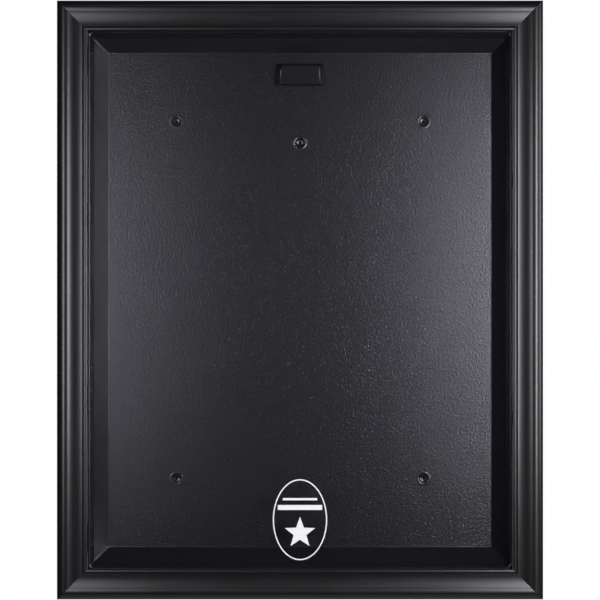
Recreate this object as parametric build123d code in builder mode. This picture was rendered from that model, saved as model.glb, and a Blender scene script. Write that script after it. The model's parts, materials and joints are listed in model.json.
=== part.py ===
from build123d import *

import os
from math import atan2, cos, radians, sin

# Wall-hung jersey display case: a moulded backboard tray, and a mitred wood frame with a clear front that swings
# open on four small hinges along its left side.
#
# Frame: the origin is the middle of the back plane that lies on the wall. +X is to the viewer's right, +Z is up
# and -Y points at the viewer. Heights above the wall, towards the viewer, are called h, so y = -h.
# Lengths are in millimetres.

os.makedirs("parts", exist_ok=True)

# ---- overall size ----
CASE_WIDTH = 876.3
CASE_HEIGHT = 1079.5
CASE_DEPTH = 76.2
TOUCH = 0.01  # how near counts as at a place, when edges and faces are chosen

# ---- heights above the wall ----
FLOOR_BACK_H = 4.0
FLOOR_H = 9.0  # front of the tray's textured floor
BAND_H = 38.0  # where the sloped wall turns into the steep band below the rim
RIM_H = 53.8
FRAME_BACK_H = 54.2
PANEL_BACK_H = 59.8
PANEL_THICKNESS = 3.0
PANEL_FRONT_H = PANEL_BACK_H + PANEL_THICKNESS

# ---- backboard tray: inside width, inside height and corner radius at each level ----
RIM_OPENING = (761.6, 971.2, 9.0)
BAND_OPENING = (751.0, 955.4, 4.5)
FLOOR_PANEL = (708.4, 914.4, 3.2)
TRAY_WALL = 4.0  # measured level, parallel to the floor
OUTSIDE_RADIUS = 3.0
RIM_FILLET = 3.2
FOLD_FILLET = 2.4  # where the sloped wall meets the floor
RIB_THICKNESS = 2.6
RIB_INSET = 4.0

# ---- screw wells in the floor ----
WELL_SPACING_X = 457.2
WELL_SPACING_Z = 660.4
TOP_WELL_Z = 291.5
WELL_BOSS_RADIUS = 14.5
COLLAR_HEIGHT = 0.6  # of the blank that the collar is cut from
# Section of a well, as (distance from its axis, height above the wall).
COLLAR_FOOT = (13.2, 9.0)
COLLAR_OUTER_SHOULDER = (11.3, 9.5)
COLLAR_INNER_SHOULDER = (10.5, 9.5)
COLLAR_LIP = (8.9, 9.08)
WELL_EDGE = (8.1, 7.7)
WELL_FOOT = (7.7, 3.0)
SEAT_FOOT = (6.9, 3.0)
SEAT_SHOULDER = (6.6, 5.2)
SEAT_CREST = (6.1, 5.6)
SCREW_HOLE_MOUTH = (2.6, 4.7)

# ---- hanger hook at the top of the floor: a shelf and a lip in front of a window ----
HOOK_BASE_WIDTH = 88.0
HOOK_BOTTOM_Z = 396.6
HOOK_TOP_Z = 437.4
HOOK_LIP_WIDTH = 77.0  # at the shelf
HOOK_LIP_TOP_WIDTH = 71.0
HOOK_LIP_TOP_Z = 430.0
HOOK_LIP_RADIUS = 10.0
HOOK_BASE_RADIUS = 1.5
HOOK_EDGE_FILLET = 3.2
HOOK_REACH = 18.0  # how far the lip stands in front of the floor
HOOK_WALL = 2.8

# ---- wood frame profile: u runs in from the outer edge, w forward from the back face ----
FRAME_WIDTH = 55.0
REBATE_U = 48.0
SIDE_HEIGHT = 7.5
BEAD_CREST_U = 15.4
BEAD_END = (22.3, 20.4)  # the outer bead runs smoothly into the cove here
COVE_MIDDLE = (32.0, 17.06)
COVE_LOW = (43.0, 15.95)
ARRIS = (46.8, 16.1)
ARRIS_RADIUS = 0.5
STEP = (47.6, 14.2)
INNER_BEAD_CREST = (51.3, 15.4)
SIGHT_EDGE_W = 14.0
LIP_BACK_W = PANEL_FRONT_H - FRAME_BACK_H

# ---- clear front and the strips that hold it ----
PANEL_CLEARANCE = 0.7
PANEL_CORNER_RADIUS = 1.5
STRIP_WIDTH = 5.6
STRIP_CLEARANCE = 0.2
STRIP_ROUND = 2.4
BRAD_RADIUS = 0.7
BRAD_HEAD_RADIUS = 1.3
BRAD_LENGTH = 13.0
BRAD_W = 3.4  # in front of the frame's back face
BRAD_HEAD_THICKNESS = 0.5
BRAD_HEAD_SINK = 0.1
BRAD_PITCH = 230.0

# ---- hinges ----
HINGE_CENTRES_Z = (432.0, 152.0, -181.0, -428.0)
HINGE_LENGTH = 50.0
LEAF_THICKNESS = 1.2
BARREL_RADIUS = 2.6
BARREL_BORE_RADIUS = 1.4
PIN_RADIUS = 1.35
PIN_END_PLAY = 0.3  # between the barrel's end and the pin's collar
PIN_COLLAR_RADIUS = 1.95
PIN_COLLAR_LENGTH = 1.0
BARREL_STANDOFF = 0.35  # between the barrel and the faces that the leaves lie on
KNUCKLES = 5
KNUCKLE_GAP = 0.25
KNUCKLE_RELIEF = 3.3  # how far from the pin a leaf is cut back beside the other leaf's knuckles
CASE_LEAF_LENGTH = 13.5
FRAME_LEAF_LENGTH = 20.0
HINGE_HOLE_SPACING = 33.0
RIVET_REACH = 8.0  # from the pin, along the case leaf
RIVET_RADIUS = 1.55
RIVET_HEAD_RADIUS = 2.5
RIVET_HEAD_HEIGHT = 1.0
RIVET_HEAD_TAPER = 45
FRAME_SCREW_REACH = 13.5  # from the pin, along the frame leaf
WOOD_SCREW_RADIUS = 1.3
WOOD_SCREW_HEAD_RADIUS = 2.5
WOOD_SCREW_LENGTH = 10.5
COUNTERSINK_TAPER = 45
DRIVE_SLOT_LENGTH = 2.6
DRIVE_SLOT_WIDTH = 0.6
DRIVE_SLOT_DEPTH = 0.8
FASTENER_CLEARANCE = 0.05
CUT_MARGIN = 1.0  # how far a slanted cut runs past the faces it goes through

# ---- magnetic closure on the right side ----
MAGNET_CENTRES_Z = (215.0, -215.0)
MAGNET_CENTRE_X = 397.5
MAGNET_SIZE = (9.0, 22.0, 5.0)  # along x, z and h
MAGNET_CHAMFER = 0.4
MAGNET_CUP = (28.0, 30.0, 13.0)
MAGNET_CUP_WALL = 2.5  # outside the magnet
STRIKE_SIZE = (12.0, 42.0, 1.2)
STRIKE_CORNER_RADIUS = 2.0
STRIKE_CLEARANCE = 0.1
STRIKE_SCREW_SPACING = 30.0

# ---- corner fasteners ----
V_NAIL_PLACES_U = (13.0, 33.0)
V_NAIL_LEG = 6.0
V_NAIL_THICKNESS = 0.8
V_NAIL_DEPTH = 9.0

# ---- emblem printed on the clear front: an oval line with two bars and a star ----
EMBLEM_CENTRE_Z = -396.0
EMBLEM_WIDTH = 98.0
EMBLEM_HEIGHT = 146.0
EMBLEM_LINE = 2.2
EMBLEM_RELIEF = 0.25
EMBLEM_BARS = ((62.0, 4.0, 37.0), (80.0, 9.0, 22.0))  # width, height and how far above the centre
STAR_DOWN = 24.0
STAR_RADIUS = 29.0
STAR_INNER_RADIUS = 12.0


def level(h):
    """The plane parallel to the wall at height h: its x is +X, its y is +Z and it faces the viewer."""
    return Plane.XZ.offset(h)


# The four sides of the frame. Each has its outer edge's middle, its inward direction and half of its length.
SIDES = {
    "left": (Vector(-CASE_WIDTH / 2, -FRAME_BACK_H, 0), Vector(1, 0, 0), CASE_HEIGHT / 2),
    "right": (Vector(CASE_WIDTH / 2, -FRAME_BACK_H, 0), Vector(-1, 0, 0), CASE_HEIGHT / 2),
    "top": (Vector(0, -FRAME_BACK_H, CASE_HEIGHT / 2), Vector(0, 0, -1), CASE_WIDTH / 2),
    "bottom": (Vector(0, -FRAME_BACK_H, -CASE_HEIGHT / 2), Vector(0, 0, 1), CASE_WIDTH / 2),
}
FORWARD = Vector(0, -1, 0)


def section_plane(side):
    """The plane across one side of the frame, with u inward along its x and w forward along its y."""
    origin, inward, _ = SIDES[side]
    return Plane(origin=origin, x_dir=inward, z_dir=inward.cross(FORWARD))


def mitre_planes(side):
    """The two planes that cut one side at its ends. Each passes through an outer corner and faces away from it."""
    origin, inward, half_length = SIDES[side]
    along = inward.cross(FORWARD)
    return [
        Plane(origin=origin + along * half_length * end, z_dir=along * end + inward) for end in (1, -1)
    ]


# ---- hinge geometry ----
# The band below the rim leans out by BAND_ANGLE from square to the floor. The case leaf lies on the band's outer
# face and the frame leaf on the back of the frame. The barrel stands off both faces by the same small gap.
BAND_RUN = (RIM_OPENING[0] - BAND_OPENING[0]) / 2
BAND_ANGLE = atan2(BAND_RUN, RIM_H - BAND_H)
LEAF_FACE = BARREL_RADIUS + BARREL_STANDOFF
PIN_H = FRAME_BACK_H - LEAF_FACE
FOOT_H = PIN_H + LEAF_FACE * sin(BAND_ANGLE)
FOOT_X = RIM_OPENING[0] / 2 + TRAY_WALL - (RIM_H - FOOT_H) * BAND_RUN / (RIM_H - BAND_H)
PIN_X = -(FOOT_X + LEAF_FACE * cos(BAND_ANGLE))
CASE_LEAF_ALONG = Vector(sin(BAND_ANGLE), cos(BAND_ANGLE), 0)
FRAME_LEAF_ALONG = Vector(-1, 0, 0)


def hinge_plane(z, along):
    """The plane across a hinge at its pin, at height z, with x along the leaf and y across it."""
    return Plane(origin=(PIN_X, -PIN_H, z), x_dir=along, z_dir=(0, 0, 1))


def rivet_planes(offset):
    """Planes on the axes of the case leaf's rivets, facing into the case, offset in from the tray's outer face."""
    outward = Vector(-cos(BAND_ANGLE), sin(BAND_ANGLE), 0)
    centre = Vector(PIN_X, -PIN_H, 0) + CASE_LEAF_ALONG * RIVET_REACH - outward * (LEAF_FACE + offset)
    return [
        Plane(origin=centre + Vector(0, 0, z + end * HINGE_HOLE_SPACING / 2), z_dir=-outward)
        for z in HINGE_CENTRES_Z
        for end in (1, -1)
    ]


def frame_screw_points():
    """Places of the hinge screws in the frame, as (x, z) on a level plane."""
    x = PIN_X - FRAME_SCREW_REACH
    return [(x, z + end * HINGE_HOLE_SPACING / 2) for z in HINGE_CENTRES_Z for end in (1, -1)]


def strike_screw_points():
    """Places of the strike plate screws, as (x, z) on a level plane."""
    return [(MAGNET_CENTRE_X, z + end * STRIKE_SCREW_SPACING / 2) for z in MAGNET_CENTRES_Z for end in (1, -1)]


def brad_offsets(side):
    """Places of the brads along one strip, measured from the strip's middle."""
    half_length = SIDES[side][2] - REBATE_U
    count = int(2 * half_length / BRAD_PITCH)
    return [(i - (count - 1) / 2) * BRAD_PITCH for i in range(count)]


def brad_planes(side):
    """Planes at the brads' heads on a strip's inner face, facing outward into the frame."""
    origin, inward, _ = SIDES[side]
    along = inward.cross(FORWARD)
    head = origin + inward * (REBATE_U + STRIP_CLEARANCE + STRIP_WIDTH) + FORWARD * BRAD_W
    return [Plane(origin=head + along * offset, z_dir=-inward) for offset in brad_offsets(side)]


# ---- backboard tray ----
WELL_POINTS = [
    (sx * WELL_SPACING_X / 2, sz * WELL_SPACING_Z / 2) for sx in (-1, 1) for sz in (-1, 1)
] + [(0, TOP_WELL_Z)]
FLOOR_SLOPE_X = (BAND_OPENING[0] - FLOOR_PANEL[0]) / 2 / (BAND_H - FLOOR_H)
FLOOR_SLOPE_Z = (BAND_OPENING[1] - FLOOR_PANEL[1]) / 2 / (BAND_H - FLOOR_H)
FLOOR_THICKNESS = FLOOR_H - FLOOR_BACK_H
INSIDE_LEVELS = [(RIM_H, *RIM_OPENING), (BAND_H, *BAND_OPENING), (FLOOR_H, *FLOOR_PANEL)]
BACK_PANEL = (
    FLOOR_PANEL[0] + 2 * (TRAY_WALL - FLOOR_SLOPE_X * FLOOR_THICKNESS),
    FLOOR_PANEL[1] + 2 * (TRAY_WALL - FLOOR_SLOPE_Z * FLOOR_THICKNESS),
)
OUTSIDE_LEVELS = [
    (RIM_H, RIM_OPENING[0] + 2 * TRAY_WALL, RIM_OPENING[1] + 2 * TRAY_WALL),
    (BAND_H, BAND_OPENING[0] + 2 * TRAY_WALL, BAND_OPENING[1] + 2 * TRAY_WALL),
    (FLOOR_BACK_H, *BACK_PANEL),
]
MAGNET_CUP_OUTER_X = MAGNET_CENTRE_X + MAGNET_SIZE[0] / 2 + MAGNET_CUP_WALL
RIB_FIELD = (BACK_PANEL[0] - 2 * RIB_INSET, BACK_PANEL[1] - 2 * RIB_INSET)
RIB_XS = (-WELL_SPACING_X / 2, 0, WELL_SPACING_X / 2)
RIB_ZS = (-WELL_SPACING_Z / 2, 0, WELL_SPACING_Z / 2)

with BuildPart() as backboard_tray:
    # Outer skin, a closed block until the inside is cut.
    for h, width, height in OUTSIDE_LEVELS:
        with BuildSketch(level(h)):
            RectangleRounded(width, height, OUTSIDE_RADIUS)
    loft(ruled=True)
    # Cups for the magnets, on the outside of the right wall.
    with BuildSketch(level(RIM_H)):
        with Locations(*[(MAGNET_CUP_OUTER_X, z) for z in MAGNET_CENTRES_Z]):
            Rectangle(MAGNET_CUP[0], MAGNET_CUP[1], align=(Align.MAX, Align.CENTER))
    extrude(amount=-MAGNET_CUP[2])
    # Ribs and screw bosses that stand the floor off the wall.
    with BuildSketch(level(0)):
        Rectangle(*RIB_FIELD)
        Rectangle(RIB_FIELD[0] - 2 * RIB_THICKNESS, RIB_FIELD[1] - 2 * RIB_THICKNESS, mode=Mode.SUBTRACT)
        with Locations(*[(x, 0) for x in RIB_XS]):
            Rectangle(RIB_THICKNESS, RIB_FIELD[1])
        with Locations(*[(0, z) for z in RIB_ZS]):
            Rectangle(RIB_FIELD[0], RIB_THICKNESS)
        with Locations(*WELL_POINTS):
            Circle(WELL_BOSS_RADIUS)
    extrude(amount=FLOOR_BACK_H)
    # Inside of the tray.
    for h, width, height, radius in INSIDE_LEVELS:
        with BuildSketch(level(h)):
            RectangleRounded(width, height, radius)
    loft(ruled=True, mode=Mode.SUBTRACT)
    rim_edges = backboard_tray.edges().filter_by_position(Axis.Y, -RIM_H - TOUCH, -RIM_H + TOUCH)
    inner_rim = [
        e
        for e in rim_edges
        if abs(e.center().X) < RIM_OPENING[0] / 2 + 0.1 and abs(e.center().Z) < RIM_OPENING[1] / 2 + 0.1
    ]
    fillet(inner_rim, RIM_FILLET)
    floor_face = backboard_tray.faces().filter_by(Axis.Y).sort_by(SortBy.AREA).filter_by_position(
        Axis.Y, -FLOOR_H - TOUCH, -FLOOR_H + TOUCH
    )[-1]
    fillet(floor_face.outer_wire().edges(), FOLD_FILLET)
    # Screw wells: a low collar, a drafted recess, and a raised seat that is dished towards its hole.
    with BuildSketch(level(FLOOR_H)):
        with Locations(*WELL_POINTS):
            Circle(COLLAR_FOOT[0])
    extrude(amount=COLLAR_HEIGHT)
    for x, z in WELL_POINTS:
        with BuildSketch(Plane(origin=(x, 0, z), x_dir=(1, 0, 0), z_dir=(0, 0, -1))):
            with BuildLine():
                outer_flank = Line(COLLAR_FOOT, COLLAR_OUTER_SHOULDER)
                crest = TangentArc(outer_flank @ 1, COLLAR_INNER_SHOULDER, tangent=outer_flank % 1)
                inner_flank = Line(crest @ 1, COLLAR_LIP)
                TangentArc(inner_flank @ 1, WELL_EDGE, tangent=inner_flank % 1)
                Polyline(
                    WELL_EDGE,
                    WELL_FOOT,
                    SEAT_FOOT,
                    SEAT_SHOULDER,
                    SEAT_CREST,
                    SCREW_HOLE_MOUTH,
                    (SCREW_HOLE_MOUTH[0], 0),
                    (0, 0),
                    (0, FLOOR_H + HOOK_REACH),
                    (COLLAR_FOOT[0], FLOOR_H + HOOK_REACH),
                    COLLAR_FOOT,
                )
            make_face()
        revolve(axis=Axis((x, 0, z), (0, -1, 0)), mode=Mode.SUBTRACT)
    # Hanger hook: a drafted block, hollowed so that a shelf, two cheeks and a lip are left.
    with BuildSketch(level(FLOOR_H)) as hook_base:
        with Locations((0, HOOK_BOTTOM_Z)):
            Rectangle(HOOK_BASE_WIDTH, HOOK_TOP_Z - HOOK_BOTTOM_Z, align=(Align.CENTER, Align.MIN))
        fillet(hook_base.vertices().group_by(Axis.Y)[-1], HOOK_BASE_RADIUS)
    with BuildSketch(level(FLOOR_H + HOOK_REACH)) as hook_lip:
        Polygon(
            (-HOOK_LIP_WIDTH / 2, HOOK_BOTTOM_Z),
            (HOOK_LIP_WIDTH / 2, HOOK_BOTTOM_Z),
            (HOOK_LIP_TOP_WIDTH / 2, HOOK_LIP_TOP_Z),
            (-HOOK_LIP_TOP_WIDTH / 2, HOOK_LIP_TOP_Z),
            align=None,
        )
        fillet(hook_lip.vertices().group_by(Axis.Y)[-1], HOOK_LIP_RADIUS)
    loft(ruled=True)
    lip_front = backboard_tray.faces().filter_by(Axis.Y).filter_by_position(
        Axis.Y, -FLOOR_H - HOOK_REACH - TOUCH, -FLOOR_H - HOOK_REACH + TOUCH
    )
    fillet(lip_front.edges(), HOOK_EDGE_FILLET)
    window = (HOOK_BASE_WIDTH - 2 * HOOK_WALL, HOOK_TOP_Z - HOOK_BOTTOM_Z - HOOK_WALL)
    with BuildSketch(level(0)):
        with Locations((0, HOOK_BOTTOM_Z + HOOK_WALL)):
            Rectangle(*window, align=(Align.CENTER, Align.MIN))
    extrude(amount=FLOOR_H, mode=Mode.SUBTRACT)
    with BuildSketch(level(FLOOR_H)):
        with Locations((0, HOOK_BOTTOM_Z + HOOK_WALL)):
            Rectangle(*window, align=(Align.CENTER, Align.MIN))
    with BuildSketch(level(FLOOR_H + HOOK_REACH - HOOK_WALL)):
        with Locations((0, HOOK_BOTTOM_Z + HOOK_WALL)):
            Rectangle(HOOK_LIP_TOP_WIDTH - 2 * HOOK_WALL, window[1], align=(Align.CENTER, Align.MIN))
    loft(ruled=True, mode=Mode.SUBTRACT)
    # Pockets for the magnets, open at the rim.
    with BuildSketch(level(RIM_H)):
        with Locations(*[(MAGNET_CENTRE_X, z) for z in MAGNET_CENTRES_Z]):
            Rectangle(MAGNET_SIZE[0] + 2 * FASTENER_CLEARANCE, MAGNET_SIZE[1] + 2 * FASTENER_CLEARANCE)
    extrude(amount=-MAGNET_SIZE[2], mode=Mode.SUBTRACT)
    # Rivet holes through the left wall.
    for plane in rivet_planes(-CUT_MARGIN):
        with BuildSketch(plane):
            Circle(RIVET_RADIUS + FASTENER_CLEARANCE)
        extrude(amount=TRAY_WALL + 2 * CUT_MARGIN, mode=Mode.SUBTRACT)
backboard_tray.part.label = "backboard_tray"
export_step(backboard_tray.part, "parts/backboard_tray.step")

# ---- magnets ----
for z, place in zip(MAGNET_CENTRES_Z, ("upper", "lower")):
    with BuildPart() as magnet:
        with BuildSketch(level(RIM_H)):
            with Locations((MAGNET_CENTRE_X, z)):
                Rectangle(MAGNET_SIZE[0], MAGNET_SIZE[1])
        extrude(amount=-MAGNET_SIZE[2])
        chamfer(magnet.faces().sort_by(Axis.Y)[0].edges(), MAGNET_CHAMFER)
    magnet.part.label = f"magnet_{place}"
    export_step(magnet.part, f"parts/magnet_{place}.step")

# ---- strike plates, let into the back of the right side ----
for z, place in zip(MAGNET_CENTRES_Z, ("upper", "lower")):
    with BuildPart() as strike_plate:
        with BuildSketch(level(FRAME_BACK_H)):
            with Locations((MAGNET_CENTRE_X, z)):
                RectangleRounded(STRIKE_SIZE[0], STRIKE_SIZE[1], STRIKE_CORNER_RADIUS)
        extrude(amount=STRIKE_SIZE[2])
        with BuildSketch(level(FRAME_BACK_H)):
            with Locations(*[p for p in strike_screw_points() if abs(p[1] - z) < STRIKE_SIZE[1]]):
                Circle(WOOD_SCREW_HEAD_RADIUS + FASTENER_CLEARANCE)
        extrude(amount=STRIKE_SIZE[2], taper=COUNTERSINK_TAPER, mode=Mode.SUBTRACT)
    strike_plate.part.label = f"strike_plate_{place}"
    export_step(strike_plate.part, f"parts/strike_plate_{place}.step")

# ---- wood screws: a flat countersunk head with a cross recess, and a shank driven forward into the frame ----
with BuildPart() as hinge_frame_screws:
    with BuildSketch(level(FRAME_BACK_H - LEAF_THICKNESS)):
        with Locations(*frame_screw_points()):
            Circle(WOOD_SCREW_HEAD_RADIUS)
    extrude(amount=WOOD_SCREW_HEAD_RADIUS - WOOD_SCREW_RADIUS, taper=COUNTERSINK_TAPER)
    with BuildSketch(level(FRAME_BACK_H - LEAF_THICKNESS)):
        with Locations(*frame_screw_points()):
            Circle(WOOD_SCREW_RADIUS)
    extrude(amount=WOOD_SCREW_LENGTH)
    with BuildSketch(level(FRAME_BACK_H - LEAF_THICKNESS)):
        with Locations(*frame_screw_points()):
            Rectangle(DRIVE_SLOT_LENGTH, DRIVE_SLOT_WIDTH)
            Rectangle(DRIVE_SLOT_WIDTH, DRIVE_SLOT_LENGTH)
    extrude(amount=DRIVE_SLOT_DEPTH, mode=Mode.SUBTRACT)
hinge_frame_screws.part.label = "hinge_frame_screws"
export_step(hinge_frame_screws.part, "parts/hinge_frame_screws.step")

with BuildPart() as strike_plate_screws:
    with BuildSketch(level(FRAME_BACK_H)):
        with Locations(*strike_screw_points()):
            Circle(WOOD_SCREW_HEAD_RADIUS)
    extrude(amount=WOOD_SCREW_HEAD_RADIUS - WOOD_SCREW_RADIUS, taper=COUNTERSINK_TAPER)
    with BuildSketch(level(FRAME_BACK_H)):
        with Locations(*strike_screw_points()):
            Circle(WOOD_SCREW_RADIUS)
    extrude(amount=WOOD_SCREW_LENGTH)
    with BuildSketch(level(FRAME_BACK_H)):
        with Locations(*strike_screw_points()):
            Rectangle(DRIVE_SLOT_LENGTH, DRIVE_SLOT_WIDTH)
            Rectangle(DRIVE_SLOT_WIDTH, DRIVE_SLOT_LENGTH)
    extrude(amount=DRIVE_SLOT_DEPTH, mode=Mode.SUBTRACT)
strike_plate_screws.part.label = "strike_plate_screws"
export_step(strike_plate_screws.part, "parts/strike_plate_screws.step")

# ---- hinge rivets through the left wall of the tray ----
WALL_ACROSS = TRAY_WALL * cos(BAND_ANGLE)
with BuildPart() as hinge_case_rivets:
    for plane in rivet_planes(-LEAF_THICKNESS):
        inner_face = plane.offset(LEAF_THICKNESS + WALL_ACROSS)
        with BuildSketch(plane):
            Circle(RIVET_RADIUS)
        extrude(amount=LEAF_THICKNESS + WALL_ACROSS)
        with BuildSketch(plane):
            Circle(RIVET_HEAD_RADIUS)
        extrude(amount=-RIVET_HEAD_HEIGHT, taper=RIVET_HEAD_TAPER)
        with BuildSketch(inner_face):
            Circle(RIVET_HEAD_RADIUS)
        extrude(amount=RIVET_HEAD_HEIGHT, taper=RIVET_HEAD_TAPER)
hinge_case_rivets.part.label = "hinge_case_rivets"
export_step(hinge_case_rivets.part, "parts/hinge_case_rivets.step")

# ---- hinges: two leaves that share a barrel, and a pin ----
KNUCKLE_LENGTH = HINGE_LENGTH / KNUCKLES


def knuckle_cuts(z, own):
    """Bottom and height of the barrel stretches that a leaf gives up: own is 0 for the case leaf, 1 for the other."""
    bottom = z - HINGE_LENGTH / 2
    return [
        (bottom + i * KNUCKLE_LENGTH - KNUCKLE_GAP / 2, KNUCKLE_LENGTH + KNUCKLE_GAP)
        for i in range(KNUCKLES)
        if i % 2 != own
    ]


for number, z in enumerate(HINGE_CENTRES_Z, start=1):
    with BuildPart() as case_leaf:
        across = hinge_plane(z - HINGE_LENGTH / 2, CASE_LEAF_ALONG)
        with BuildSketch(across):
            Circle(BARREL_RADIUS)
            with Locations((0, -LEAF_FACE)):
                Rectangle(CASE_LEAF_LENGTH, LEAF_THICKNESS, align=(Align.MIN, Align.MIN))
            Circle(BARREL_BORE_RADIUS, mode=Mode.SUBTRACT)
        extrude(amount=HINGE_LENGTH)
        for bottom, height in knuckle_cuts(z, own=0):
            with BuildSketch(hinge_plane(bottom, CASE_LEAF_ALONG)):
                Circle(KNUCKLE_RELIEF)
            extrude(amount=height, mode=Mode.SUBTRACT)
        for plane in rivet_planes(-LEAF_THICKNESS - CUT_MARGIN):
            if abs(plane.origin.Z - z) < HINGE_LENGTH / 2:
                with BuildSketch(plane):
                    Circle(RIVET_RADIUS + FASTENER_CLEARANCE)
                extrude(amount=LEAF_THICKNESS + 2 * CUT_MARGIN, mode=Mode.SUBTRACT)
    case_leaf.part.label = f"hinge_{number}_case_leaf"
    export_step(case_leaf.part, f"parts/hinge_{number}_case_leaf.step")

    with BuildPart() as frame_leaf:
        across = hinge_plane(z - HINGE_LENGTH / 2, FRAME_LEAF_ALONG)
        with BuildSketch(across):
            Circle(BARREL_RADIUS)
            with Locations((0, LEAF_FACE)):
                Rectangle(FRAME_LEAF_LENGTH, LEAF_THICKNESS, align=(Align.MIN, Align.MAX))
            Circle(BARREL_BORE_RADIUS, mode=Mode.SUBTRACT)
        extrude(amount=HINGE_LENGTH)
        for bottom, height in knuckle_cuts(z, own=1):
            with BuildSketch(hinge_plane(bottom, FRAME_LEAF_ALONG)):
                Circle(KNUCKLE_RELIEF)
            extrude(amount=height, mode=Mode.SUBTRACT)
        with BuildSketch(level(FRAME_BACK_H - LEAF_THICKNESS)):
            with Locations(*[p for p in frame_screw_points() if abs(p[1] - z) < HINGE_LENGTH / 2]):
                Circle(WOOD_SCREW_HEAD_RADIUS + FASTENER_CLEARANCE)
        extrude(amount=LEAF_THICKNESS, taper=COUNTERSINK_TAPER, mode=Mode.SUBTRACT)
    frame_leaf.part.label = f"hinge_{number}_frame_leaf"
    export_step(frame_leaf.part, f"parts/hinge_{number}_frame_leaf.step")

    with BuildPart() as pin:
        pin_bottom = z - HINGE_LENGTH / 2 - PIN_END_PLAY
        pin_top = z + HINGE_LENGTH / 2 + PIN_END_PLAY
        with BuildSketch(Plane(origin=(PIN_X, -PIN_H, pin_bottom))):
            Circle(PIN_RADIUS)
        extrude(amount=pin_top - pin_bottom)
        with BuildSketch(
            Plane(origin=(PIN_X, -PIN_H, pin_top)),
            Plane(origin=(PIN_X, -PIN_H, pin_bottom - PIN_COLLAR_LENGTH)),
        ):
            Circle(PIN_COLLAR_RADIUS)
        extrude(amount=PIN_COLLAR_LENGTH)
    pin.part.label = f"hinge_{number}_pin"
    export_step(pin.part, f"parts/hinge_{number}_pin.step")

# ---- corner V-nails, pressed across the mitres from the back ----
with BuildPart() as corner_v_nails:
    for sx in (-1, 1):
        for sz in (-1, 1):
            for u in V_NAIL_PLACES_U:
                outward = Vector(sx, 0, sz).normalized()
                apex = Vector(sx * (CASE_WIDTH / 2 - u), -FRAME_BACK_H, sz * (CASE_HEIGHT / 2 - u))
                with BuildSketch(Plane(origin=apex, x_dir=outward, z_dir=FORWARD)):
                    Rectangle(V_NAIL_LEG, V_NAIL_LEG, rotation=45)
                    with Locations((-V_NAIL_THICKNESS * 2**0.5, 0)):
                        Rectangle(V_NAIL_LEG, V_NAIL_LEG, rotation=45, mode=Mode.SUBTRACT)
                extrude(amount=V_NAIL_DEPTH)
corner_v_nails.part.label = "corner_v_nails"
export_step(corner_v_nails.part, "parts/corner_v_nails.step")


# ---- wood frame ----
# The moulding's section in (u, w): side, shoulder, outer bead, cove, arris, inner bead, lip and rebate.
CREST = (BEAD_CREST_U, CASE_DEPTH - FRAME_BACK_H)
with BuildSketch() as moulding:
    with BuildLine():
        Line((0, 0), (0, SIDE_HEIGHT))
        TangentArc(CREST, (0, SIDE_HEIGHT), tangent=(-1, 0))
        TangentArc(CREST, BEAD_END, tangent=(1, 0))
        cove_bottom = TangentArc(COVE_LOW, COVE_MIDDLE, tangent=(-1, 0))
        TangentArc(COVE_MIDDLE, BEAD_END, tangent=cove_bottom % 1)
        TangentArc(COVE_LOW, ARRIS, tangent=(1, 0))
        Line(ARRIS, STEP)
        TangentArc(INNER_BEAD_CREST, STEP, tangent=(-1, 0))
        TangentArc(INNER_BEAD_CREST, (FRAME_WIDTH, SIGHT_EDGE_W), tangent=(1, 0))
        Polyline(
            (FRAME_WIDTH, SIGHT_EDGE_W),
            (FRAME_WIDTH, LIP_BACK_W),
            (REBATE_U, LIP_BACK_W),
            (REBATE_U, 0),
            (0, 0),
        )
    make_face()
    fillet(moulding.vertices().sort_by_distance((*ARRIS, 0))[0], ARRIS_RADIUS)

FRAME_NAMES = {
    "left": "frame_stile_left",
    "right": "frame_stile_right",
    "top": "frame_rail_top",
    "bottom": "frame_rail_bottom",
}
for side, name in FRAME_NAMES.items():
    half_length = SIDES[side][2]
    with BuildPart() as frame_side:
        with BuildSketch(section_plane(side)):
            add(moulding.sketch)
        extrude(amount=half_length, both=True)
        for plane in mitre_planes(side):
            split(bisect_by=plane, keep=Keep.BOTTOM)
        add(corner_v_nails.part, mode=Mode.SUBTRACT)
        if side == "left":
            with BuildSketch(level(FRAME_BACK_H)):
                with Locations(*frame_screw_points()):
                    Circle(WOOD_SCREW_RADIUS + FASTENER_CLEARANCE)
            extrude(amount=WOOD_SCREW_LENGTH, mode=Mode.SUBTRACT)
        if side == "right":
            with BuildSketch(level(FRAME_BACK_H)):
                with Locations(*[(MAGNET_CENTRE_X, z) for z in MAGNET_CENTRES_Z]):
                    RectangleRounded(
                        STRIKE_SIZE[0] + 2 * STRIKE_CLEARANCE,
                        STRIKE_SIZE[1] + 2 * STRIKE_CLEARANCE,
                        STRIKE_CORNER_RADIUS,
                    )
            extrude(amount=STRIKE_SIZE[2], mode=Mode.SUBTRACT)
            with BuildSketch(level(FRAME_BACK_H)):
                with Locations(*strike_screw_points()):
                    Circle(WOOD_SCREW_RADIUS + FASTENER_CLEARANCE)
            extrude(amount=WOOD_SCREW_LENGTH, mode=Mode.SUBTRACT)
        for plane in brad_planes(side):
            with BuildSketch(plane):
                Circle(BRAD_RADIUS + FASTENER_CLEARANCE)
            extrude(amount=BRAD_LENGTH, mode=Mode.SUBTRACT)
    frame_side.part.label = name
    export_step(frame_side.part, f"parts/{name}.step")

# ---- clear front ----
with BuildPart() as clear_front:
    with BuildSketch(level(PANEL_BACK_H)):
        RectangleRounded(
            CASE_WIDTH - 2 * (REBATE_U + PANEL_CLEARANCE),
            CASE_HEIGHT - 2 * (REBATE_U + PANEL_CLEARANCE),
            PANEL_CORNER_RADIUS,
        )
    extrude(amount=PANEL_THICKNESS)
clear_front.part.label = "clear_front"
export_step(clear_front.part, "parts/clear_front.step")

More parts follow.
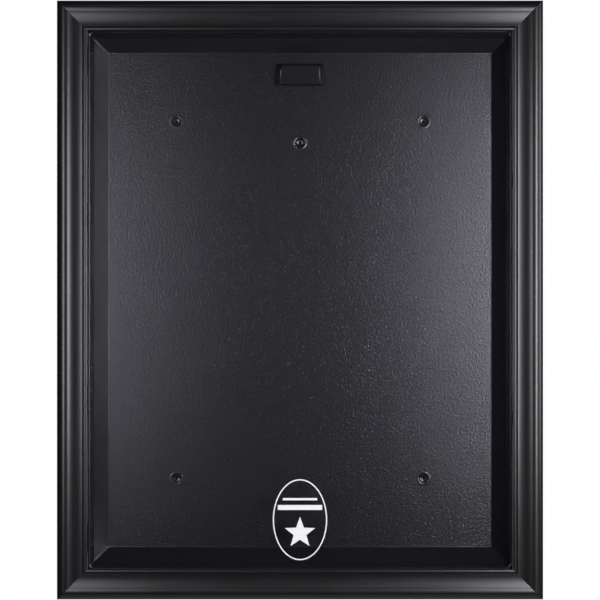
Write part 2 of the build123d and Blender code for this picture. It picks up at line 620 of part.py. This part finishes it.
# ---- strips that hold the clear front in its rebate, and their brads ----
STRIP_OUTER_U = REBATE_U + STRIP_CLEARANCE
STRIP_INNER_U = STRIP_OUTER_U + STRIP_WIDTH
STRIP_FRONT_W = PANEL_BACK_H - FRAME_BACK_H
for side in SIDES:
    half_length = SIDES[side][2]
    with BuildPart() as strip:
        with BuildSketch(section_plane(side)):
            with BuildLine():
                Polyline(
                    (STRIP_INNER_U - STRIP_ROUND, STRIP_CLEARANCE),
                    (STRIP_OUTER_U, STRIP_CLEARANCE),
                    (STRIP_OUTER_U, STRIP_FRONT_W),
                    (STRIP_INNER_U, STRIP_FRONT_W),
                    (STRIP_INNER_U, STRIP_CLEARANCE + STRIP_ROUND),
                )
                RadiusArc(
                    (STRIP_INNER_U, STRIP_CLEARANCE + STRIP_ROUND),
                    (STRIP_INNER_U - STRIP_ROUND, STRIP_CLEARANCE),
                    STRIP_ROUND,
                )
            make_face()
        extrude(amount=half_length, both=True)
        for plane in mitre_planes(side):
            split(bisect_by=plane, keep=Keep.BOTTOM)
        for plane in brad_planes(side):
            with BuildSketch(plane):
                Circle(BRAD_RADIUS + FASTENER_CLEARANCE)
            extrude(amount=BRAD_LENGTH, mode=Mode.SUBTRACT)
            with BuildSketch(plane):
                Circle(BRAD_HEAD_RADIUS + FASTENER_CLEARANCE)
            extrude(amount=BRAD_HEAD_SINK + BRAD_HEAD_THICKNESS, mode=Mode.SUBTRACT)
    strip.part.label = f"retaining_strip_{side}"
    export_step(strip.part, f"parts/retaining_strip_{side}.step")

with BuildPart() as strip_brads:
    for side in SIDES:
        for plane in brad_planes(side):
            with BuildSketch(plane):
                Circle(BRAD_RADIUS)
            extrude(amount=BRAD_LENGTH)
            with BuildSketch(plane.offset(BRAD_HEAD_SINK)):
                Circle(BRAD_HEAD_RADIUS)
            extrude(amount=BRAD_HEAD_THICKNESS)
strip_brads.part.label = "strip_brads"
export_step(strip_brads.part, "parts/strip_brads.step")

# ---- emblem printed on the clear front ----
star_points = []
for i in range(10):
    radius = (STAR_RADIUS, STAR_INNER_RADIUS)[i % 2]
    turn = radians(90 + 36 * i)
    star_points.append((radius * cos(turn), radius * sin(turn) - STAR_DOWN))
with BuildPart() as printed_emblem:
    with BuildSketch(Plane(origin=(0, -PANEL_FRONT_H, EMBLEM_CENTRE_Z), x_dir=(1, 0, 0), z_dir=FORWARD)):
        Ellipse(EMBLEM_WIDTH / 2, EMBLEM_HEIGHT / 2)
        Ellipse(EMBLEM_WIDTH / 2 - EMBLEM_LINE, EMBLEM_HEIGHT / 2 - EMBLEM_LINE, mode=Mode.SUBTRACT)
        for width, height, up in EMBLEM_BARS:
            with Locations((0, up)):
                Rectangle(width, height)
        with BuildLine():
            Polyline(*star_points, close=True)
        make_face()
    extrude(amount=EMBLEM_RELIEF)
printed_emblem.part.label = "printed_emblem"
export_step(printed_emblem.part, "parts/printed_emblem.step")
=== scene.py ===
import json
import math

import bmesh
import bpy
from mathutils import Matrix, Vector


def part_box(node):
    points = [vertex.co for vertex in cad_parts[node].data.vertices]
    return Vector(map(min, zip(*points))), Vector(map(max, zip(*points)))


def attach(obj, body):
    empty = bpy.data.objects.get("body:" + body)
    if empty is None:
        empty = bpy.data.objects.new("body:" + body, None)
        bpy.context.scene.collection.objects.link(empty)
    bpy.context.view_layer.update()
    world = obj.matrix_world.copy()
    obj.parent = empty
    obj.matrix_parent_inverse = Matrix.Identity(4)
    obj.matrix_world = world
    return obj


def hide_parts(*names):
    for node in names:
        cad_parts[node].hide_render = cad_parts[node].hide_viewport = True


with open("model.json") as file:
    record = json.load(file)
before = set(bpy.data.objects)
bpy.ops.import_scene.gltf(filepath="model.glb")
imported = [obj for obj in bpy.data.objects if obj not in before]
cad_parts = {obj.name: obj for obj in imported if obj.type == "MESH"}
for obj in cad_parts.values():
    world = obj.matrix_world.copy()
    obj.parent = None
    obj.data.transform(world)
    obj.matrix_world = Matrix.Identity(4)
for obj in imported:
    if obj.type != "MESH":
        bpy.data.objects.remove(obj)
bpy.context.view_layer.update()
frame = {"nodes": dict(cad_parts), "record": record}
nodes = frame["nodes"]
scene = bpy.context.scene
MM = 0.001


# ---------- shader helpers ----------
def new_material(name):
    """An empty node material with a Principled shader. Returns the material, its node tree and the shader."""
    material = bpy.data.materials.new(name)
    material.use_nodes = True
    tree = material.node_tree
    tree.nodes.clear()
    out = tree.nodes.new("ShaderNodeOutputMaterial")
    shader = tree.nodes.new("ShaderNodeBsdfPrincipled")
    tree.links.new(shader.outputs["BSDF"], out.inputs["Surface"])
    return material, tree, shader


def node(tree, kind, inputs=None, **settings):
    """Adds a node, sets its properties, and links or sets its inputs."""
    added = tree.nodes.new(kind)
    for key, value in settings.items():
        setattr(added, key, value)
    for key, value in (inputs or {}).items():
        if isinstance(value, bpy.types.NodeSocket):
            tree.links.new(value, added.inputs[key])
        else:
            added.inputs[key].default_value = value
    return added


def object_position(tree):
    """The socket with the place of each point in the piece's own frame, in metres."""
    return node(tree, "ShaderNodeTexCoord").outputs["Object"]


def ramp(tree, fac, stops):
    """A colour ramp through (position, grey or colour) stops."""
    added = node(tree, "ShaderNodeValToRGB", {"Fac": fac})
    while len(added.color_ramp.elements) < len(stops):
        added.color_ramp.elements.new(0.5)
    for element, (position, value) in zip(added.color_ramp.elements, stops):
        element.position = position
        colour = value if isinstance(value, tuple) else (value, value, value)
        element.color = (*colour, 1.0)
    return added.outputs["Color"]


def add_bump(tree, shader, height, strength, distance):
    """Bumps the shader's normal by a height socket. distance is the height of the bumps in metres."""
    settings = {"Strength": strength, "Distance": distance, "Height": height}
    bump = node(tree, "ShaderNodeBump", settings)
    tree.links.new(bump.outputs["Normal"], shader.inputs["Normal"])


def place(obj, material):
    """Gives the object this material and no other."""
    obj.data.materials.clear()
    obj.data.materials.append(material)


# ---------- materials ----------
# The front of the tray's floor is at this Y, in metres. Only what lies within the band about it, and faces
# the front, has the grain at full strength.
TRAY_FLOOR_Y = -0.009
TRAY_FLOOR_BAND = 0.0012
TRAY_GRAIN_HEIGHT = 0.0006
TRAY_WALL_BUMP = 0.03
TRAY_FLOOR_BUMP = 0.55
# Its colour in the hollows of the grain, darker there as painted shade, and on its tops, lighter there as
# painted light.
TRAY_PAINTED_SHADE_IN_HOLLOWS = (0.0015, 0.0015, 0.002)
TRAY_PAINTED_LIGHT_ON_TOPS = (0.0095, 0.0093, 0.0125)


def tray_plastic():
    """Black moulded plastic with a leather grain on the floor of the tray and nearly smooth walls. Its colour
    has painted shade in the grain's hollows and painted light on its tops.
    """
    material, tree, shader = new_material("tray_plastic")
    at = object_position(tree)
    geometry = node(tree, "ShaderNodeNewGeometry")
    facing = node(tree, "ShaderNodeSeparateXYZ", {0: geometry.outputs["Normal"]})
    depth = node(tree, "ShaderNodeSeparateXYZ", {0: at})
    facing_front = {"Value": facing.outputs["Y"], "From Min": -0.9, "From Max": -0.99}
    flat = node(tree, "ShaderNodeMapRange", facing_front)
    band = {0: depth.outputs["Y"], 1: TRAY_FLOOR_Y, 2: TRAY_FLOOR_BAND}
    near = node(tree, "ShaderNodeMath", band, operation="COMPARE")
    floor_mask = node(tree, "ShaderNodeMath", {0: flat.outputs[0], 1: near.outputs[0]}, operation="MULTIPLY")
    coarse = node(tree, "ShaderNodeTexNoise", {"Vector": at, "Scale": 420.0, "Detail": 1.0, "Roughness": 0.5})
    cells = node(tree, "ShaderNodeTexVoronoi", {"Vector": at, "Scale": 360.0, "Randomness": 1.0})
    both = {0: coarse.outputs["Fac"], 1: cells.outputs["Distance"]}
    grain = node(tree, "ShaderNodeMath", both, operation="ADD")
    limits = {"Value": floor_mask.outputs[0], "To Min": TRAY_WALL_BUMP, "To Max": TRAY_FLOOR_BUMP}
    strength = node(tree, "ShaderNodeMapRange", limits)
    add_bump(tree, shader, grain.outputs[0], strength.outputs[0], TRAY_GRAIN_HEIGHT)
    # Painted shade and light: the colour follows the grain's height, darker in its hollows and lighter on its
    # tops.
    colour = ramp(tree, grain.outputs[0], [(0.5, TRAY_PAINTED_SHADE_IN_HOLLOWS), (1.0, TRAY_PAINTED_LIGHT_ON_TOPS)])
    rough = ramp(tree, coarse.outputs["Fac"], [(0.3, 0.276), (0.7, 0.295)])
    tree.links.new(colour, shader.inputs["Base Color"])
    tree.links.new(rough, shader.inputs["Roughness"])
    shader.inputs["Specular Tint"].default_value = (0.93, 0.92, 1.0, 1.0)
    return material


ALONG_X = 0
ALONG_Z = 2
GRAIN_ACROSS = 260.0
GRAIN_ALONG = 7.0


def black_lacquer(name, roughness, level, along):
    """Satin black lacquer over wood. level is its darkest grey, and the faint grain runs along one axis."""
    material, tree, shader = new_material(name)
    at = object_position(tree)
    stretch = [GRAIN_ACROSS, GRAIN_ACROSS, GRAIN_ACROSS]
    stretch[along] = GRAIN_ALONG
    grain_at = node(tree, "ShaderNodeMapping", {"Vector": at, "Scale": stretch})
    grain = node(tree, "ShaderNodeTexNoise", {"Vector": grain_at.outputs[0], "Scale": 1.0, "Detail": 3.0})
    peel = node(tree, "ShaderNodeTexNoise", {"Vector": at, "Scale": 300.0, "Detail": 1.0})
    broad = node(tree, "ShaderNodeTexNoise", {"Vector": at, "Scale": 14.0, "Detail": 3.0})
    summed = {0: grain.outputs["Fac"], 1: 0.6, 2: peel.outputs["Fac"]}
    height = node(tree, "ShaderNodeMath", summed, operation="MULTIPLY_ADD")
    add_bump(tree, shader, height.outputs[0], strength=0.08, distance=0.0002)
    low = (level, level, level * 1.12)
    high = (level * 1.5, level * 1.5, level * 1.7)
    colour = ramp(tree, broad.outputs["Fac"], [(0.3, low), (0.7, high)])
    rough = ramp(tree, grain.outputs["Fac"], [(0.25, roughness - 0.03), (0.75, roughness + 0.03)])
    tree.links.new(colour, shader.inputs["Base Color"])
    tree.links.new(rough, shader.inputs["Roughness"])
    return material


def clear_acrylic():
    """A clear sheet. A dim mirror at a low alpha gives its reflections and lets everything else through."""
    material, tree, shader = new_material("clear_acrylic")
    haze = node(tree, "ShaderNodeTexNoise", {"Vector": object_position(tree), "Scale": 5.0, "Detail": 2.0})
    rough = ramp(tree, haze.outputs["Fac"], [(0.3, 0.03), (0.7, 0.07)])
    tree.links.new(rough, shader.inputs["Roughness"])
    shader.inputs["Base Color"].default_value = (0.3, 0.31, 0.32, 1.0)
    shader.inputs["Metallic"].default_value = 1.0
    shader.inputs["Alpha"].default_value = 0.03
    material.surface_render_method = "BLENDED"
    return material


def metal(name, colour, roughness, scale):
    """Metal with fine mottling. scale is the frequency of its noise in cycles per metre."""
    material, tree, shader = new_material(name)
    noise = node(tree, "ShaderNodeTexNoise", {"Vector": object_position(tree), "Scale": scale, "Detail": 3.0})
    mottle = noise.outputs["Fac"]
    darker = tuple(channel * 0.82 for channel in colour)
    tree.links.new(ramp(tree, mottle, [(0.35, darker), (0.65, colour)]), shader.inputs["Base Color"])
    rough = ramp(tree, mottle, [(0.3, roughness - 0.06), (0.7, roughness + 0.08)])
    tree.links.new(rough, shader.inputs["Roughness"])
    add_bump(tree, shader, mottle, strength=0.1, distance=0.0001)
    shader.inputs["Metallic"].default_value = 1.0
    return material


def white_print():
    """White screen print with slightly uneven ink."""
    material, tree, shader = new_material("white_print")
    noise = node(tree, "ShaderNodeTexNoise", {"Vector": object_position(tree), "Scale": 700.0, "Detail": 2.0})
    ink = noise.outputs["Fac"]
    tree.links.new(ramp(tree, ink, [(0.3, 0.72), (0.7, 0.86)]), shader.inputs["Base Color"])
    tree.links.new(ramp(tree, ink, [(0.3, 0.45), (0.7, 0.6)]), shader.inputs["Roughness"])
    return material


def wall_shadow():
    """Painted shade: a dark stand-in for the wall behind the case, which lies in the case's shadow."""
    material, tree, shader = new_material("wall_shadow")
    noise = node(tree, "ShaderNodeTexNoise", {"Vector": object_position(tree), "Scale": 60.0, "Detail": 2.0})
    colour = ramp(tree, noise.outputs["Fac"], [(0.3, 0.006), (0.7, 0.011)])
    tree.links.new(colour, shader.inputs["Base Color"])
    shader.inputs["Roughness"].default_value = 0.9
    return material


def floor_paper():
    """Pale floor. It looks bright to the camera, but throws only a little light up at the case."""
    material, tree, shader = new_material("floor_paper")
    shader.inputs["Base Color"].default_value = (0.35, 0.35, 0.35, 1)
    shader.inputs["Roughness"].default_value = 0.9
    seen = node(tree, "ShaderNodeLightPath").outputs["Is Camera Ray"]
    glow = node(tree, "ShaderNodeEmission", {"Color": (0.9, 0.9, 0.9, 1)})
    mixed = node(tree, "ShaderNodeMixShader", {0: seen, 1: shader.outputs[0], 2: glow.outputs[0]})
    out = next(n for n in tree.nodes if n.type == "OUTPUT_MATERIAL")
    tree.links.new(mixed.outputs[0], out.inputs["Surface"])
    return material


LACQUER_ROUGHNESS = 0.31
LACQUER_LEVEL = 0.004
LACQUER_ON_STILES = black_lacquer("black_lacquer_upright", LACQUER_ROUGHNESS, LACQUER_LEVEL, ALONG_Z)
LACQUER_ON_RAILS = black_lacquer("black_lacquer_level", LACQUER_ROUGHNESS, LACQUER_LEVEL, ALONG_X)
BY_SLOT = {
    "tray_plastic": tray_plastic(),
    "black_lacquer": LACQUER_ON_STILES,
    "black_strip": black_lacquer("black_strip", 0.6, 0.012, ALONG_X),
    "clear_acrylic": clear_acrylic(),
    "white_print": white_print(),
    "hinge_steel": metal("hinge_steel", (0.55, 0.55, 0.56), 0.34, 500.0),
    "rivet_black": metal("rivet_black", (0.07, 0.07, 0.075), 0.4, 600.0),
    "wire_steel": metal("wire_steel", (0.42, 0.42, 0.43), 0.4, 600.0),
    "magnet_nickel": metal("magnet_nickel", (0.7, 0.69, 0.67), 0.22, 300.0),
}
for entry in frame["record"]["subparts"]:
    place(nodes[entry["node"]], BY_SLOT[entry["material_slot"]])


# ---------- wood mouldings, finer than the CAD ones ----------
# Points of their section in millimetres: (in from the outer edge, forward from the back face).
SIDE_FOOT = (0.0, 0.02)
SIDE_TOP = (0.0, 7.5)
CREST = (15.4, 22.0)
BEAD_END = (22.3, 20.4)
COVE_MIDDLE = (32.0, 17.06)
COVE_MIDDLE_SLOPE = -0.204
COVE_LOW = (43.0, 15.95)
ARRIS = (46.8, 16.1)
ARRIS_ROUNDING = [(46.45, 16.08), (46.68, 16.02), (46.83, 15.88), (46.93, 15.68)]
STEP = (47.6, 14.2)
INNER_CREST = (51.3, 15.4)
SIGHT_EDGE = (55.0, 14.0)
SIGHT_EDGE_BACK = (55.0, 8.6)
REBATE_CORNER = (48.0, 8.6)
REBATE_BACK = (48.0, 0.02)

# The frame's outside and the Y of its back face, also in millimetres, come from the CAD.
STILE_LOWS, STILE_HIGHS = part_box("frame_stile_left")
HALF_WIDTH = -STILE_LOWS.x / MM
HALF_HEIGHT = STILE_HIGHS.z / MM
BACK_Y = STILE_HIGHS.y / MM
MITRE_GAP = 0.1
SMOOTH_BELOW = math.radians(30)


def tangent_arc(start, slope, end, count):
    """count points, without start, on the arc that leaves start at a slope and stops at end."""
    run = math.hypot(1, slope)
    tx, ty = 1 / run, slope / run
    dx, dy = end[0] - start[0], end[1] - start[1]
    signed_radius = (dx * dx + dy * dy) / (2 * (dy * tx - dx * ty))
    cx, cy = start[0] - ty * signed_radius, start[1] + tx * signed_radius
    first = math.atan2(start[1] - cy, start[0] - cx)
    last = math.atan2(end[1] - cy, end[0] - cx)
    turn = (last - first + math.pi) % (2 * math.pi) - math.pi
    radius = abs(signed_radius)
    angles = [first + turn * i / count for i in range(1, count + 1)]
    return [(cx + radius * math.cos(a), cy + radius * math.sin(a)) for a in angles]


def arc_back_to(start, slope, end, count):
    """The same arc run the other way: from end, which is left out, to start."""
    return tangent_arc(start, slope, end, count)[-2::-1] + [start]


def moulding_section():
    """The closed outline of a moulding, from the back of its outer edge over the front to the rebate."""
    outline = [SIDE_FOOT, SIDE_TOP]
    outline += arc_back_to(CREST, 0.0, SIDE_TOP, 30)
    outline += tangent_arc(CREST, 0.0, BEAD_END, 14)
    outline += arc_back_to(COVE_MIDDLE, COVE_MIDDLE_SLOPE, BEAD_END, 10)
    outline += arc_back_to(COVE_LOW, 0.0, COVE_MIDDLE, 14)
    outline += tangent_arc(COVE_LOW, 0.0, ARRIS, 6)[:-1]
    outline += ARRIS_ROUNDING
    outline += [STEP]
    outline += arc_back_to(INNER_CREST, 0.0, STEP, 8)
    outline += tangent_arc(INNER_CREST, 0.0, SIGHT_EDGE, 8)
    outline += [SIGHT_EDGE_BACK, REBATE_CORNER, REBATE_BACK]
    return outline


def new_object(name, bm):
    """Makes an object from a bmesh, which it frees."""
    mesh = bpy.data.meshes.new(name)
    bm.to_mesh(mesh)
    bm.free()
    made = bpy.data.objects.new(name, mesh)
    scene.collection.objects.link(made)
    return made


def mitred_moulding(name, outline, origin, inward, along, half_length):
    """Sweeps the section along one side of the frame, with both ends cut at 45 degrees."""
    bm = bmesh.new()
    rings = []
    for end in (-1, 1):
        ring = []
        for u, w in outline:
            reach = half_length - u - MITRE_GAP
            point = origin + inward * u + along * reach * end + Vector((0, BACK_Y - w, 0))
            ring.append(bm.verts.new(point * MM))
        rings.append(ring)
    near, far = rings
    for i in range(len(outline)):
        j = (i + 1) % len(outline)
        bm.faces.new((near[i], near[j], far[j], far[i]))
    bm.faces.new(near[::-1])
    bm.faces.new(far)
    bmesh.ops.recalc_face_normals(bm, faces=bm.faces)
    moulding = new_object(name, bm)
    moulding.data.shade_smooth()
    moulding.data.set_sharp_from_angle(angle=SMOOTH_BELOW)
    return moulding


X = Vector((1, 0, 0))
Z = Vector((0, 0, 1))
# For each side: its names, the middle of its outer edge, the ways inward and along it, and half its length.
SIDES = [
    ("moulding_left", "frame_stile_left", -X * HALF_WIDTH, X, Z, HALF_HEIGHT, LACQUER_ON_STILES),
    ("moulding_right", "frame_stile_right", X * HALF_WIDTH, -X, -Z, HALF_HEIGHT, LACQUER_ON_STILES),
    ("moulding_top", "frame_rail_top", Z * HALF_HEIGHT, -Z, X, HALF_WIDTH, LACQUER_ON_RAILS),
    ("moulding_bottom", "frame_rail_bottom", -Z * HALF_HEIGHT, Z, -X, HALF_WIDTH, LACQUER_ON_RAILS),
]
section = moulding_section()
for name, cad_node, origin, inward, along, half_length, lacquer in SIDES:
    moulding = mitred_moulding(name, section, origin, inward, along, half_length)
    place(moulding, lacquer)
    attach(moulding, "door")
    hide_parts(cad_node)

# ---------- painted shade behind the tray's holes: dark patches for the shaded wall that the case hangs on ---
# Places and sizes in metres. Each patch is a little larger than its hole.
mounts = {mount["name"]: mount for mount in frame["record"]["mounts"]}
spacing = mounts["wall_screw_pattern"]["dims"]
HOLE_X = spacing["spacing_x_mm"] * MM / 2
HOLE_Z = spacing["spacing_y_mm"] * MM / 2
SCREW_HOLES = [(-HOLE_X, -HOLE_Z), (-HOLE_X, HOLE_Z), (HOLE_X, -HOLE_Z), (HOLE_X, HOLE_Z)]
HANGING_HOLE = (0.0, mounts["hanging_screw_hole"]["pos_m"][2])
PATCH_Y = 0.0004
SCREW_PATCH_RADIUS = 0.0045
SCREW_PATCH_SIDES = 24
HOOK_PATCH_HALF_WIDTH = 0.0415
HOOK_PATCH_LOW = 0.3985
HOOK_PATCH_HIGH = 0.4385


def add_patch(bm, corners):
    """One flat face from its corners, given as X and Z."""
    bm.faces.new([bm.verts.new((x, PATCH_Y, z)) for x, z in corners])


bm = bmesh.new()
angles = [2 * math.pi * i / SCREW_PATCH_SIDES for i in range(SCREW_PATCH_SIDES)]
rim = [(SCREW_PATCH_RADIUS * math.cos(a), SCREW_PATCH_RADIUS * math.sin(a)) for a in angles]
for x, z in SCREW_HOLES + [HANGING_HOLE]:
    add_patch(bm, [(x + dx, z + dz) for dx, dz in rim])
add_patch(
    bm,
    [
        (-HOOK_PATCH_HALF_WIDTH, HOOK_PATCH_LOW),
        (HOOK_PATCH_HALF_WIDTH, HOOK_PATCH_LOW),
        (HOOK_PATCH_HALF_WIDTH, HOOK_PATCH_HIGH),
        (-HOOK_PATCH_HALF_WIDTH, HOOK_PATCH_HIGH),
    ],
)
# Painted shade: dark patches behind the holes and the hook's window, where the wall would be in shade.
patches = new_object("wall_shade_patches", bm)
place(patches, wall_shadow())

# ---------- floor ----------
# It lies so far below the case that the camera at the front doesn't see it.
FLOOR_CENTRE = (0, -0.15, -1.3)
FLOOR_SIZE = (5.0, 1.5, 1)
bpy.ops.mesh.primitive_plane_add(size=1.0, location=FLOOR_CENTRE)
floor = bpy.context.object
floor.name = "floor"
floor.scale = FLOOR_SIZE
place(floor, floor_paper())

# ---------- light ----------
# The world is white to the camera, and almost dark to everything else.
world = bpy.data.worlds.new("studio")
scene.world = world
world.use_nodes = True
sky = world.node_tree
sky.nodes.clear()
sky_out = sky.nodes.new("ShaderNodeOutputWorld")
white = node(sky, "ShaderNodeBackground", {"Color": (1, 1, 1, 1), "Strength": 1.0})
dim = node(sky, "ShaderNodeBackground", {"Color": (0.9, 0.92, 1.0, 1), "Strength": 0.01})
seen = node(sky, "ShaderNodeLightPath").outputs["Is Camera Ray"]
mixed = node(sky, "ShaderNodeMixShader", {0: seen, 1: dim.outputs[0], 2: white.outputs[0]})
sky.links.new(mixed.outputs[0], sky_out.inputs[0])

LIGHT_TINT = (0.96, 0.95, 1.0)


def softbox(name, at, target, size, power):
    """A rectangular light that looks from one point to another. size is in metres and power in watts."""
    data = bpy.data.lights.new(name, "AREA")
    data.shape = "RECTANGLE"
    data.size, data.size_y = size
    data.energy = power
    data.color = LIGHT_TINT
    lamp = bpy.data.objects.new(name, data)
    lamp.location = at
    lamp.rotation_euler = (Vector(target) - Vector(at)).to_track_quat("-Z", "Y").to_euler()
    scene.collection.objects.link(lamp)


softbox("left_box", (-1.02, -1.65, 0.1), (0.0, 0.0, 0.1), (0.4, 1.22), 17.4)
softbox("right_box", (1.02, -1.65, 0.1), (0.0, 0.0, 0.1), (0.4, 1.22), 34.5)
softbox("right_side", (2.2, -0.6, 0.2), (-0.3, 0.0, 0.1), (0.8, 1.4), 18)
softbox("top_box", (0.0, -1.5, 1.9), (0.0, 0.0, 0.0), (1.2, 0.5), 1.5)
# This one is behind the case and lights its back.
softbox("back_box", (0.0, 2.6, 0.4), (0.0, 0.0, 0.0), (2.6, 1.8), 130)

# ---------- camera ----------
CAMERA_DISTANCE = 2.0762
SENSOR_WIDTH = 36.0
# Half of the picture's width, divided by the distance at which it's measured.
HALF_VIEW = 0.2686
camera_data = bpy.data.cameras.new("camera")
camera_data.sensor_width = SENSOR_WIDTH
camera_data.lens = SENSOR_WIDTH / 2 / HALF_VIEW
camera = bpy.data.objects.new("camera", camera_data)
camera.location = (0.0, -CAMERA_DISTANCE, 0.0)
camera.rotation_euler = (math.radians(90), 0, 0)
scene.collection.objects.link(camera)
bpy.context.scene.camera = camera
scene.view_settings.view_transform = "Standard"
